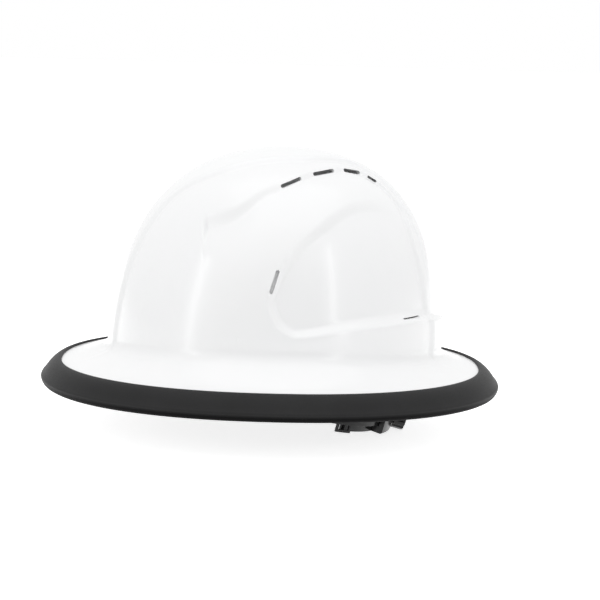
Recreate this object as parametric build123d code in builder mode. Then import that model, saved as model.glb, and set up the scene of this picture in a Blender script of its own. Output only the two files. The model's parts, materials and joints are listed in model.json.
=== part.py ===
from build123d import *
import os
from math import cos, degrees, hypot, pi, radians, sin, sqrt, tan

# Full brim hard hat with a webbing suspension and a ratchet nape strap.
# Millimetres. +Z up, the front faces -Y, the wearer's left is +X.
# The origin is on the ground under the middle of the brim, at the level of the ratchet's
# lowest point when the nape unit hangs as worn.

# Dome of the shell. It leans back as it rises, and its two shares say how far it stands
# upright from the brim and how far it runs level from the top.
dome_half_length = 116.3
dome_half_width = 103.0
dome_height = 153.3
dome_upright_share = 0.343
dome_level_share = 0.933
dome_lean_share = 0.056
wall = 2.8

# Raised band over the crown, from front to back
crown_band_proud = 2.3

# Scoops beside the crown, with their vents
scoop_drop = 6.5
scoop_floor_height = 58.0
vent_height = 2.8
vent_depth = 16.0

# Recessed ear panels, and the proud band below them at the back
ear_depth = 4.0
rear_band_proud = 4.5
ear_slot_length = 17.0
ear_slot_width = 2.6
ear_slot_angle = 75
rear_slot_length = 15.0
rear_slot_width = 1.2

# Brim, whose flat flange is held by the rubber trim
brim_half_length = 150.0
brim_half_width = 128.5
brim_thickness = 2.8
brim_flange = 4.5
brim_rise_side = 19.0
brim_rise_end = 10.0

# Rubber trim round the brim
trim_height = 16.7
trim_crease = 15.0
trim_crease_drop = 10.4
trim_lip = 1.2
trim_lip_edge = 1.5
trim_foot = 11.0
trim_inner = 3.0

# Clearances between pieces, and how far cutters run past what they cut
soft_gap = 0.3
fit_gap = 0.2
running_gap = 0.06
overrun = 30.0

# Suspension keys and their sockets in the shell
suspension_centre = -10.0
diagonal_angle = 28.0
key_tongue_width = 20.0
key_thickness = 2.2
key_tongue_top = 30.0
key_frame_top = 14.0
key_frame_bottom = -1.5
key_frame_width = 27.0
key_frame_setback = 2.2
key_bar = 3.0
key_bar_height = 6.5
key_window_width = 20.6
key_window_edge = 1.6
key_hook_width = 12.0
key_hook_bottom = -7.5
socket_bottom = 14.4
socket_top = 33.0
socket_wall = 1.4
socket_back = 1.8
socket_side = 2.6

# Woven crown straps
strap_width = 19.0
strap_thickness = 1.2
strap_loop = 2.6
strap_flat = 24.0
strap_crown = 118.0
strap_tail = 26.0

# Headband, tilted up at the front
pivot_y = 6.0
pivot_drop = 8.7
headband_tilt = 8.0
headband_height = 28.0
headband_thickness = 2.0
headband_front = 110.2
headband_lap = 14.0
headband_arm_gap = 1.1
pocket_wall = 1.8
pocket_reach = 12.0
pocket_height = 6.2

# Brow pad and nape pad
brow_pad_thickness = 4.2
brow_pad_height = 31.0
brow_pad_end = 50.0
nape_pad_thickness = 4.0
nape_pad_angle = 40.0
pad_round = 1.7

# Rack arms of the nape unit, which lap inside the headband on a circle round the pivots
nape_tilt = 14.0
arm_radius = 84.8
arm_thickness = 1.6
arm_layer_gap = 0.5
arm_height = 22.0
arm_travel = 11.3
arm_front = 18.5
arm_tail = 109.5
arm_end_round = 4.0
chin_loop_start = 33.0
chin_loop_end = 42.0
chin_loop_drop = 5.6
chin_loop_bar = 1.8
stud_radius = 2.5
stud_head_radius = 4.3
stud_head = 1.2

# Pinion and racks
tooth_module = 1.0
pinion_teeth = 11
rack_teeth = 15
tooth_backlash = 0.42
pressure_angle = 20
addendum_share = 0.9
dedendum_share = 1.15
window_gap = 0.6

# Ratchet housing and knob
housing_half_height = 16.5
housing_angle = 24.5
housing_radius = 89.0
housing_round = 1.6
back_plate_thickness = 1.8
back_plate_angle = 52.0
channel_gap = 0.4
boss_radius = 6.6
boss_height = 3.6
spindle_radius = 4.6
tang_width = 5.0
tang_length = 2.4
screw_bite = 1.6
knob_radius = 16.0
knob_face = 97.8
knob_gap = 0.4
knob_cup_radius = 12.6
knob_cup_depth = 5.0
knob_lobes = 14
knob_lobe_radius = 1.6
knob_edge_round = 0.9
knob_dish_radius = 10.0
knob_dish_depth = 1.2
detent_teeth = 24
detent_depth = 0.8
detent_spring_thickness = 1.6
detent_arm = 1.0
detent_ring = 1.5
detent_sweep = 80
screw_radius = 1.5
screw_head_radius = 3.0
screw_head = 1.6
case_screw_radius = 1.1
case_screw_head_radius = 1.9
case_screw_head = 0.9
case_screw_length = 6.5
case_screw_angle = 19.0

# Outlines in shares of the finished dome. The crown line and the band's edge are in shares of
# its half width and half length, seen from above. The ear line and the ledge below it are in
# shares of its half length and height, seen from the side.
crown_line_shares = [
    (0.620, -0.408),
    (0.665, -0.231),
    (0.606, -0.075),
    (0.490, 0.155),
    (0.316, 0.352),
    (0.185, 0.490),
    (0.150, 0.600),
    (0.200, 0.760),
]
band_line_shares = [
    (0.330, -1.150),
    (0.300, -0.950),
    (0.262, -0.840),
    (0.274, -0.590),
    (0.312, -0.480),
    (0.351, -0.330),
    (0.339, 0.026),
    (0.285, 0.230),
    (0.150, 0.460),
    (0.112, 0.600),
    (0.160, 0.760),
    (0.340, 0.880),
    (0.370, 1.150),
]
ear_line_shares = [
    (0.170, 0.223),
    (0.038, 0.269),
    (-0.022, 0.387),
    (0.043, 0.518),
    (0.184, 0.658),
    (0.388, 0.777),
    (0.664, 0.791),
    (0.850, 0.735),
    (1.040, 0.600),
]
ledge_line_shares = [(0.345, 0.245), (0.643, 0.276), (0.850, 0.272), (1.020, 0.243), (1.200, 0.190)]
trim_shoulder_shares = [(0.44, -0.03), (0.79, 0.36)]
trim_heel_shares = (0.3, 0.62)
ear_middle_shares = (0.55, 0.49)
vent_span_shares = [(0.037, 0.155), (0.227, 0.352), (0.412, 0.514), (0.560, 0.625)]
ear_slot_shares = (0.010, 0.459)
rear_slot_shares = (0.838, 0.284)

os.makedirs("parts", exist_ok=True)

# Levels that follow from the sizes above
nape_sin = sin(radians(nape_tilt))
nape_cos = cos(radians(nape_tilt))
knob_low = (knob_face - knob_edge_round) * nape_sin + (knob_radius - knob_edge_round) * nape_cos
brim_z = pivot_drop + knob_low + knob_edge_round
pivot_z = brim_z - pivot_drop
trim_bottom_z = brim_z - trim_height

nape_plane = Plane(origin=(0, pivot_y, pivot_z), x_dir=(1, 0, 0), z_dir=(0, nape_sin, nape_cos))
headband_plane = Plane(
    origin=(0, pivot_y, pivot_z),
    x_dir=(1, 0, 0),
    z_dir=(0, sin(radians(headband_tilt)), cos(radians(headband_tilt))),
)
round_ratio = dome_half_length / dome_half_width

# Planes square to the knob's axis: local X across the hat, local Y down, Z outwards
knob_axis = Vector(0, nape_cos, -nape_sin)
knob_line = Axis((0, pivot_y, pivot_z), (0, nape_cos, -nape_sin))


def knob_plane(distance):
    """Plane square to the knob's axis, at a distance from the pivot line."""
    foot = Vector(0, pivot_y, pivot_z) + knob_axis * distance
    return Plane(origin=foot, x_dir=(1, 0, 0), z_dir=knob_axis)


def unround(solid):
    """Squeeze and lean a solid drawn round into the hat's own shape, at the brim's level."""
    shape = Matrix([
        [dome_half_width / dome_half_length, 0, 0, 0],
        [0, 1, dome_lean_share, 0],
        [0, 0, 1, brim_z],
        [0, 0, 0, 1],
    ])
    return solid.transform_geometry(shape)


def round_dome(grow=0, lower=0, skirt=0):
    """The dome drawn round, standing on the ground plane."""
    reach = dome_half_length + grow
    height = dome_height + grow - lower
    with BuildPart() as body:
        with BuildSketch(Plane.XZ):
            with BuildLine():
                crown = Bezier(
                    (reach, 0),
                    (reach, dome_upright_share * height),
                    (dome_level_share * reach, height),
                    (0, height),
                )
                Polyline(crown @ 1, (0, -skirt), (reach, -skirt))
                if skirt:
                    Line((reach, -skirt), crown @ 0)
            make_face()
        revolve(axis=Axis.Z)
    return body.part


def dome_level(x, y):
    """Height of the finished dome over a point, above the brim's level."""
    low = 0
    high = 1
    for _ in range(40):
        t = (low + high) / 2
        height = dome_height * (3 * dome_upright_share * t * (1 - t) ** 2 + 3 * t * t * (1 - t) + t ** 3)
        reach = (1 - t) ** 3 + 3 * t * (1 - t) ** 2 + 3 * dome_level_share * t * t * (1 - t)
        lean = dome_lean_share * height
        if hypot(x / dome_half_width, (y - lean) / dome_half_length) < reach:
            low = t
        else:
            high = t
    return height


def crown_point(share):
    """Point of the crown line seen from above, at a share of the dome's half length."""
    for (x0, y0), (x1, y1) in zip(crown_line_shares, crown_line_shares[1:]):
        if y0 <= share <= y1:
            x = x0 + (x1 - x0) * (share - y0) / (y1 - y0)
            return (x * dome_half_width, share * dome_half_length)


def plan_point(x_share, y_share):
    """A point of the finished dome seen from above, moved to where the round drawing has it."""
    x = x_share * dome_half_width
    y = y_share * dome_half_length
    return (x * round_ratio, y - dome_lean_share * dome_level(x, y))


def side_point(y_share, z_share):
    """A point of the finished dome seen from the side, moved to where the round drawing has it."""
    z = z_share * dome_height
    return (y_share * dome_half_length - dome_lean_share * z, z)


def scoop_prism(grow):
    """Upright prism over both scoops, outside the crown line."""
    outer = dome_half_length + overrun
    line = [(x - grow, y) for x, y in (plan_point(*shares) for shares in crown_line_shares)]
    line[0] = (line[0][0], line[0][1] - grow)
    with BuildPart() as body:
        with BuildSketch(Plane.XY.offset(scoop_floor_height)):
            with BuildLine():
                edge = Spline(line)
                Polyline(
                    edge @ 1,
                    (line[-1][0], outer),
                    (outer, outer),
                    (outer, line[0][1]),
                    edge @ 0,
                )
            make_face()
            mirror(about=Plane.YZ)
        extrude(amount=dome_height)
    return body.part


def ear_prism(side, grow):
    """Prism over the ear panel on one side, with its ledge along the bottom."""
    middle_y, middle_z = side_point(*ear_middle_shares)
    spread = 1 + grow / middle_z
    points = [
        (middle_y + (y - middle_y) * spread, middle_z + (z - middle_z) * spread)
        for y, z in (side_point(*shares) for shares in ear_line_shares + ledge_line_shares)
    ]
    count = len(ear_line_shares)
    with BuildPart() as body:
        with BuildSketch(Plane.YZ):
            with BuildLine():
                line = Spline(points[:count])
                ledge = Spline(points[:1] + points[count:])
                Line(line @ 1, ledge @ 1)
            make_face()
        extrude(amount=side * (dome_half_length + overrun))
    return body.part


def relieved_dome(grow, edge, skirt=0):
    """The round dome with its scoops and ear panels let in."""
    dome = round_dome(grow=grow, skirt=skirt)
    floor = round_dome(grow=grow, lower=scoop_drop, skirt=skirt)
    dome = dome - (scoop_prism(edge) - floor)
    for side in (1, -1):
        floor = round_dome(grow=grow, skirt=skirt).moved(Location((-side * ear_depth, 0, 0)))
        dome = dome - (ear_prism(side, edge) - floor)
    return dome


def brim_cone(level):
    """Solid under the brim's sloping face, drawn round, with its edge at a level."""
    slope = (brim_half_length - dome_half_length) / brim_rise_end
    with BuildPart() as body:
        with BuildSketch(Plane.XY.offset(level)):
            Ellipse(brim_half_width * round_ratio, brim_half_length)
        with BuildSketch(Plane.XY.offset(level + brim_rise_side)):
            Ellipse(dome_half_length, brim_half_length - slope * brim_rise_side)
        loft(ruled=True)
    return body.part


# Where the keys stand: a direction seen from above, and whether they carry the headband
diagonal_sin = sin(radians(diagonal_angle))
diagonal_cos = cos(radians(diagonal_angle))
inner_half_length = dome_half_length - wall
inner_half_width = dome_half_width - wall


def wall_reach(direction):
    """Distance from the suspension's centre to the shell's inner wall."""
    dx, dy = direction
    a = (dx / inner_half_width) ** 2 + (dy / inner_half_length) ** 2
    b = 2 * suspension_centre * dy / inner_half_length ** 2
    c = (suspension_centre / inner_half_length) ** 2 - 1
    return (-b + sqrt(b * b - 4 * a * c)) / (2 * a)


key_places = {
    "front_left_key": ((diagonal_sin, -diagonal_cos), True),
    "front_right_key": ((-diagonal_sin, -diagonal_cos), True),
    "side_left_key": ((1, 0), True),
    "side_right_key": ((-1, 0), True),
    "rear_left_key": ((diagonal_sin, diagonal_cos), False),
    "rear_right_key": ((-diagonal_sin, diagonal_cos), False),
}
key_setback = socket_back + fit_gap + key_thickness / 2
loop_setback = key_setback + key_frame_setback


def radial_plane(direction, distance):
    """Upright plane facing outwards along a direction: local X across, local Y up."""
    dx, dy = direction
    foot = (dx * distance, suspension_centre + dy * distance, brim_z)
    return Plane(origin=foot, x_dir=(-dy, dx, 0), z_dir=(dx, dy, 0))


def round_prism(direction, near, far, width, low, high):
    """Upright block across a direction, drawn so that it comes out true in the squeezed shell."""
    dx, dy = direction
    corners = [(near, -width / 2), (far, -width / 2), (far, width / 2), (near, width / 2)]
    points = [
        (
            (dx * radial - dy * across) * round_ratio,
            suspension_centre + dy * radial + dx * across - dome_lean_share * low,
        )
        for radial, across in corners
    ]
    rise = (high - low) * hypot(1, dome_lean_share)
    with BuildPart() as body:
        with BuildSketch(Plane.XY.offset(low)):
            Polygon(*points, align=None)
        extrude(amount=rise, dir=(0, -dome_lean_share, 1))
    return body.part


# Shell, drawn round and then squeezed into shape
rear_dome = round_dome().moved(Location((0, rear_band_proud, 0)))
cavity = relieved_dome(-wall, wall, skirt=overrun)

with BuildPart() as crown_band:
    add(round_dome(grow=crown_band_proud))
    with BuildSketch(Plane.XY):
        with BuildLine():
            edge = Spline([plan_point(*shares) for shares in band_line_shares])
            Polyline(edge @ 1, (0, (edge @ 1).Y), (0, (edge @ 0).Y), edge @ 0)
        make_face()
        mirror(about=Plane.YZ)
    extrude(amount=dome_height + overrun, mode=Mode.INTERSECT)

with BuildPart() as rear_band:
    add(rear_dome)
    ledge_front = side_point(*ear_line_shares[0])[0]
    ledge_rear = side_point(*ledge_line_shares[-1])[0]
    with BuildSketch(Plane.YZ):
        with BuildLine():
            ledge = Spline([side_point(*shares) for shares in ear_line_shares[:1] + ledge_line_shares])
            Polyline(ledge @ 1, (ledge_rear, 0), (ledge_front, 0), ledge @ 0)
        make_face()
    extrude(amount=dome_half_length + overrun, both=True, mode=Mode.INTERSECT)

with BuildPart() as brim_skin:
    add(brim_cone(0))
    add(brim_cone(-brim_thickness), mode=Mode.SUBTRACT)
    with BuildSketch(Plane.XY):
        Ellipse((brim_half_width + brim_flange) * round_ratio, brim_half_length + brim_flange)
        Ellipse(
            (brim_half_width - brim_thickness) * round_ratio,
            brim_half_length - brim_thickness,
            mode=Mode.SUBTRACT,
        )
    extrude(amount=-brim_thickness)

with BuildPart() as round_shell:
    add(relieved_dome(0, 0))
    add(crown_band.part)
    add(rear_band.part)
    add(brim_skin.part)
    add(cavity, mode=Mode.SUBTRACT)

    # Sockets for the suspension keys, each open below and rooted in the wall
    wall_middle = round_dome(grow=-wall / 2)
    for direction, _ in key_places.values():
        reach = wall_reach(direction)
        slot_depth = key_thickness / 2 + fit_gap
        block = round_prism(
            direction,
            reach - key_setback - slot_depth - socket_wall,
            reach + wall,
            key_tongue_width + 2 * (fit_gap + socket_side),
            socket_bottom,
            socket_top,
        )
        add(block & wall_middle)
        add(
            round_prism(
                direction,
                reach - key_setback - slot_depth,
                reach - key_setback + slot_depth,
                key_tongue_width + 2 * fit_gap,
                socket_bottom - overrun,
                key_tongue_top + fit_gap,
            ),
            mode=Mode.SUBTRACT,
        )

    # Vents through the step of each scoop
    for low_share, high_share in vent_span_shares:
        for side in (1, -1):
            x0, y0 = crown_point(low_share)
            x1, y1 = crown_point(high_share)
            z0 = dome_level(x0, y0)
            z1 = dome_level(x1, y1)
            step = scoop_drop * z0 / dome_height
            start = Vector(side * x0 * round_ratio, y0 - dome_lean_share * z0, z0 - step / 2)
            end = Vector(side * x1 * round_ratio, y1 - dome_lean_share * z1, z1 - step / 2)
            along = end - start
            outward = Vector(side * along.Y, -side * along.X, 0)
            with BuildSketch(Plane(origin=(start + end) / 2, x_dir=along, z_dir=outward)):
                SlotOverall(along.length, vent_height)
            extrude(amount=vent_depth / 2, both=True, mode=Mode.SUBTRACT)

    # Accessory slot in the front of each ear panel, and a thin one above the ledge
    with BuildSketch(Plane.YZ):
        with Locations(side_point(*ear_slot_shares)):
            SlotOverall(ear_slot_length, ear_slot_width, rotation=ear_slot_angle)
        with Locations(side_point(*rear_slot_shares)):
            SlotOverall(rear_slot_length, rear_slot_width)
    extrude(amount=dome_half_length + overrun, both=True, mode=Mode.SUBTRACT)

with BuildPart() as shell:
    add(unround(round_shell.part))
shell.part.label = "shell"
export_step(shell.part, "parts/shell.step")


def rim_ellipse(reach):
    """Ellipse a steady distance outside the brim's visible edge."""
    return Ellipse(brim_half_width + reach, brim_half_length + reach)


# The trim's section: how far each point stands outside the brim's visible edge, and its drop
trim_upper = [
    (trim_lip_edge, -trim_lip),
    *[(trim_crease * reach, trim_crease_drop * drop) for reach, drop in trim_shoulder_shares],
    (trim_crease, trim_crease_drop),
]
trim_lower = [
    (trim_crease, trim_crease_drop),
    (
        trim_crease - (trim_crease - trim_foot) * trim_heel_shares[0],
        trim_crease_drop + (trim_height - trim_crease_drop) * trim_heel_shares[1],
    ),
    (trim_foot, trim_height),
]

# Rubber edge trim: a sloping upper face and a rounded lower one that meet at a crease,
# grooved inside for the brim's flange
with BuildPart() as edge_trim:
    for reach, drop in trim_upper:
        with BuildSketch(Plane.XY.offset(brim_z - drop)):
            rim_ellipse(reach)
    loft()
    for reach, drop in trim_lower:
        with BuildSketch(Plane.XY.offset(brim_z - drop)):
            rim_ellipse(reach)
    loft()
    with BuildSketch(Plane.XY.offset(trim_bottom_z)):
        rim_ellipse(-trim_inner)
    extrude(amount=trim_height, mode=Mode.SUBTRACT)
    with BuildSketch(Plane.XY.offset(brim_z - brim_thickness - soft_gap)):
        rim_ellipse(brim_flange + soft_gap)
    extrude(amount=brim_thickness + 2 * soft_gap, mode=Mode.SUBTRACT)
    with BuildSketch(Plane.XY.offset(brim_z)):
        rim_ellipse(0)
    extrude(amount=trim_lip + overrun, mode=Mode.SUBTRACT)
edge_trim.part.label = "edge_trim"
export_step(edge_trim.part, "parts/edge_trim.step")

# Suspension keys: a tongue for the shell's socket, a frame whose bar the webbing goes round,
# and, on four of them, a hook for the headband's pocket
for name, (direction, carries) in key_places.items():
    reach = wall_reach(direction)
    window_top = key_frame_top - key_window_edge
    window_bottom = key_frame_bottom + key_window_edge
    with BuildPart() as key:
        with BuildSketch(radial_plane(direction, reach - key_setback)):
            with Locations((0, (key_tongue_top + window_top) / 2)):
                Rectangle(key_tongue_width, key_tongue_top - window_top)
        extrude(amount=key_thickness / 2, both=True)
        with BuildSketch(radial_plane(direction, reach - loop_setback)):
            with Locations((0, (key_frame_top + key_frame_bottom) / 2)):
                Rectangle(key_frame_width, key_frame_top - key_frame_bottom)
            with Locations((0, (window_top + window_bottom) / 2)):
                Rectangle(key_window_width, window_top - window_bottom, mode=Mode.SUBTRACT)
            with Locations((0, key_bar_height)):
                Rectangle(key_frame_width, key_bar)
            if carries:
                with Locations((0, (key_frame_bottom + key_hook_bottom) / 2)):
                    Rectangle(key_hook_width, key_frame_bottom - key_hook_bottom)
        extrude(amount=key_thickness / 2, both=True)
        with BuildSketch(radial_plane(direction, reach - loop_setback - key_thickness / 2)):
            with Locations((0, (key_frame_top + window_top) / 2)):
                Rectangle(key_frame_width, key_frame_top - window_top)
        extrude(amount=key_thickness + key_frame_setback)
    key.part.label = name
    export_step(key.part, f"parts/{name}.step")


def arch_face(front, rear, crown, grow):
    """Face under a strap's arch: flat over the crown, with an elliptical fall to each end."""
    rise = crown - key_bar_height + grow
    with BuildSketch() as face:
        with BuildLine():
            EllipticalCenterArc(
                (strap_flat, key_bar_height), front - strap_flat + grow, rise, arc_size=90
            )
            EllipticalCenterArc(
                (-strap_flat, key_bar_height),
                rear - strap_flat + grow,
                rise,
                start_angle=90,
                arc_size=90,
            )
            Line((strap_flat, key_bar_height + rise), (-strap_flat, key_bar_height + rise))
            Line((front + grow, key_bar_height), (-rear - grow, key_bar_height))
        make_face()
    return face.sketch


# Woven crown straps, each sewn round the bars of two opposite keys, one over the other where
# they cross
strap_middle = strap_loop + strap_thickness / 2
strap_step = strap_thickness + soft_gap
strap_ends = {
    "left_diagonal_strap": ((-diagonal_sin, diagonal_cos), (diagonal_sin, -diagonal_cos)),
    "right_diagonal_strap": ((diagonal_sin, diagonal_cos), (-diagonal_sin, -diagonal_cos)),
    "side_strap": ((1, 0), (-1, 0)),
}
for layer, (name, (front, rear)) in enumerate(strap_ends.items()):
    front_reach = wall_reach(front) - loop_setback - strap_middle
    rear_reach = wall_reach(rear) - loop_setback - strap_middle
    crown = strap_crown + layer * strap_step
    strap_plane = Plane(
        origin=(0, suspension_centre, brim_z),
        x_dir=(front[0], front[1], 0),
        z_dir=(front[1], -front[0], 0),
    )
    with BuildPart() as strap:
        with BuildSketch(strap_plane):
            add(arch_face(front_reach, rear_reach, crown, 3 * strap_thickness / 2))
            with Locations((0, key_bar_height + strap_tail + crown / 2)):
                Rectangle(2 * (front_reach + rear_reach), crown, mode=Mode.SUBTRACT)
            add(arch_face(front_reach, rear_reach, crown, strap_thickness / 2))
            add(
                arch_face(front_reach, rear_reach, crown, -strap_thickness / 2),
                mode=Mode.SUBTRACT,
            )
            with Locations((front_reach + strap_middle, key_bar_height)):
                Circle(strap_loop + strap_thickness)
            with Locations((-rear_reach - strap_middle, key_bar_height)):
                Circle(strap_loop + strap_thickness)
            with Locations(
                (front_reach + strap_middle, key_bar_height),
                (-rear_reach - strap_middle, key_bar_height),
            ):
                Circle(strap_loop, mode=Mode.SUBTRACT)
        extrude(amount=strap_width / 2, both=True)
    strap.part.label = name
    export_step(strap.part, f"parts/{name}.step")


def headband_face(grow):
    """Face inside the headband's inner line: half an ellipse in front, half a circle behind."""
    with BuildSketch() as face:
        with BuildLine():
            EllipticalCenterArc(
                (0, 0),
                headband_inner + grow,
                headband_front + grow,
                start_angle=180,
                arc_size=180,
            )
            CenterArc((0, 0), headband_inner + grow, 0, 180)
        make_face()
    return face.sketch


def sector_face(inner, outer, start, end):
    """Ring sector round the middle of the pivot line, between two angles in degrees."""
    with BuildSketch() as face:
        with BuildLine():
            outside = CenterArc((0, 0), outer, start, end - start)
            inside = CenterArc((0, 0), inner, start, end - start)
            Line(outside @ 0, inside @ 0)
            Line(outside @ 1, inside @ 1)
        make_face()
    return face.sketch


# Headband, with pockets outside it for the four hooks and a hole at each pivot
headband_inner = arm_radius + headband_arm_gap
pocket_depth = key_thickness / 2 + fit_gap + pocket_wall
pocket_top = key_frame_bottom - soft_gap
with BuildPart() as headband:
    for direction, carries in key_places.values():
        if carries:
            hook_distance = wall_reach(direction) - loop_setback
            with BuildSketch(radial_plane(direction, hook_distance + pocket_depth)):
                with Locations((0, pocket_top - pocket_height / 2)):
                    Rectangle(key_hook_width + 2 * (fit_gap + pocket_wall), pocket_height)
            extrude(amount=-2 * pocket_depth - pocket_reach)
    with BuildSketch(headband_plane):
        add(headband_face(headband_thickness))
        with Locations((0, headband_inner)):
            Rectangle(
                3 * headband_inner,
                2 * headband_inner * (1 - sin(radians(headband_lap))),
                mode=Mode.SUBTRACT,
            )
    extrude(amount=headband_height / 2, both=True)
    with BuildSketch(headband_plane):
        add(headband_face(0))
    extrude(amount=headband_height, both=True, mode=Mode.SUBTRACT)
    for direction, carries in key_places.values():
        if carries:
            hook_distance = wall_reach(direction) - loop_setback
            with BuildSketch(radial_plane(direction, hook_distance)):
                with Locations((0, pocket_top - pocket_height / 2)):
                    Rectangle(key_hook_width + 2 * fit_gap, 2 * pocket_height)
            extrude(amount=key_thickness / 2 + fit_gap, both=True, mode=Mode.SUBTRACT)
    with BuildSketch(Plane.YZ):
        with Locations((pivot_y, pivot_z)):
            Circle(stud_radius + running_gap)
    extrude(amount=2 * headband_inner, both=True, mode=Mode.SUBTRACT)
headband.part.label = "headband"
export_step(headband.part, "parts/headband.step")

# Brow pad inside the front of the headband
with BuildPart() as brow_pad:
    with BuildSketch(headband_plane):
        add(headband_face(-soft_gap))
        add(headband_face(-soft_gap - brow_pad_thickness), mode=Mode.SUBTRACT)
        with Locations((0, headband_inner - brow_pad_end)):
            Rectangle(3 * headband_inner, 2 * headband_inner, mode=Mode.SUBTRACT)
    extrude(amount=brow_pad_height / 2, both=True)
    fillet(brow_pad.edges(), radius=pad_round)
brow_pad.part.label = "brow_pad"
export_step(brow_pad.part, "parts/brow_pad.step")

# Rack arms. The left one runs in the outer layer and the right one in the inner layer.
pitch_radius = tooth_module * pinion_teeth / 2
tooth_pitch = pi * tooth_module
tip_height = addendum_share * tooth_module
root_depth = dedendum_share * tooth_module
flank = tan(radians(pressure_angle))
layer_step = arm_thickness + arm_layer_gap


def nape_radial(angle, distance, height=0):
    """Plane facing outwards from the pivot line's middle: local X up, at an angle in degrees."""
    outward = nape_plane.x_dir * cos(radians(angle)) + nape_plane.y_dir * sin(radians(angle))
    foot = nape_plane.origin + outward * distance + nape_plane.z_dir * height
    return Plane(origin=foot, x_dir=nape_plane.z_dir, z_dir=outward)


def arm_angle(side, angle):
    """An angle from one side of the hat towards the back, counted from the left side."""
    return 90 - side * (90 - angle)


for side, name in ((1, "left_arm"), (-1, "right_arm")):
    outer = arm_radius if side > 0 else arm_radius - layer_step
    inner = outer - arm_thickness
    middle = (outer + inner) / 2
    tooth_angle = degrees(tooth_pitch / middle)
    window_angle = arm_travel + degrees((pitch_radius + tip_height + window_gap) / middle)
    window_edge = pitch_radius - tip_height
    window_height = window_edge + pitch_radius + tip_height + window_gap
    with BuildPart() as arm:
        with BuildSketch(nape_plane):
            add(sector_face(inner, outer, arm_angle(side, -arm_front), arm_angle(side, arm_tail)))
        extrude(amount=arm_height / 2, both=True)
        corners = arm.edges().filter_by(lambda e: abs(e.length - arm_thickness) < arm_thickness / 100)
        fillet(corners, radius=arm_end_round)

        # Loop below the lower edge, for a chin strap
        with BuildSketch(nape_plane.offset(-arm_height / 2 - chin_loop_drop)):
            add(sector_face(inner, outer, arm_angle(side, chin_loop_start), arm_angle(side, chin_loop_end)))
        extrude(amount=chin_loop_drop + chin_loop_bar)
        bar_angle = degrees(chin_loop_bar / middle)
        with BuildSketch(nape_plane.offset(-arm_height / 2 - chin_loop_drop + chin_loop_bar)):
            add(
                sector_face(
                    inner - overrun,
                    outer + overrun,
                    arm_angle(side, chin_loop_start + bar_angle),
                    arm_angle(side, chin_loop_end - bar_angle),
                )
            )
        extrude(amount=chin_loop_drop - chin_loop_bar, mode=Mode.SUBTRACT)

        # Long slot that slides over the pivot stud
        slot_angle = arm_travel + degrees((stud_radius + fit_gap) / middle)
        with BuildSketch(nape_plane):
            add(
                sector_face(
                    inner - overrun,
                    outer + overrun,
                    arm_angle(side, -slot_angle),
                    arm_angle(side, slot_angle),
                )
            )
        extrude(amount=stud_radius + fit_gap, both=True, mode=Mode.SUBTRACT)

        # Window with the rack along one edge: the upper edge on the left, the lower on the right
        with BuildSketch(nape_plane.offset(side * window_edge)):
            add(sector_face(inner - overrun, outer + overrun, 90 - window_angle, 90 + window_angle))
        extrude(amount=-side * window_height, mode=Mode.SUBTRACT)
        first = 0 if side > 0 else tooth_angle / 2
        half_tip = tooth_pitch / 4 + tooth_backlash / 2 + tip_height * flank
        half_root = tooth_pitch / 4 + tooth_backlash / 2 - root_depth * flank
        for k in range(-(rack_teeth // 2), rack_teeth // 2 + (side > 0)):
            with BuildSketch(nape_radial(90 + first + k * tooth_angle, inner - overrun)):
                with BuildLine():
                    Polyline(
                        (side * (pitch_radius - tip_height - window_gap), -half_tip),
                        (side * (pitch_radius - tip_height), -half_tip),
                        (side * (pitch_radius + root_depth), -half_root),
                        (side * (pitch_radius + root_depth), half_root),
                        (side * (pitch_radius - tip_height), half_tip),
                        (side * (pitch_radius - tip_height - window_gap), half_tip),
                        close=True,
                    )
                make_face()
            extrude(amount=2 * overrun, mode=Mode.SUBTRACT)
    arm.part.label = name
    export_step(arm.part, f"parts/{name}.step")

    # Pivot stud: its shank runs in the arm's slot and its outer head backs the headband
    stud_name = name.replace("arm", "stud")
    seat = headband_inner + headband_thickness + running_gap
    inside = inner * cos(stud_head_radius / inner) - soft_gap
    with BuildPart() as stud:
        with BuildSketch(Plane.YZ.offset(side * (inside - stud_head))):
            with Locations((pivot_y, pivot_z)):
                Circle(stud_head_radius)
        extrude(amount=side * stud_head)
        with BuildSketch(Plane.YZ.offset(side * inside)):
            with Locations((pivot_y, pivot_z)):
                Circle(stud_radius)
        extrude(amount=side * (seat - inside))
        with BuildSketch(Plane.YZ.offset(side * seat)):
            with Locations((pivot_y, pivot_z)):
                Circle(stud_head_radius)
        extrude(amount=side * stud_head)
    stud.part.label = stud_name
    export_step(stud.part, f"parts/{stud_name}.step")

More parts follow.
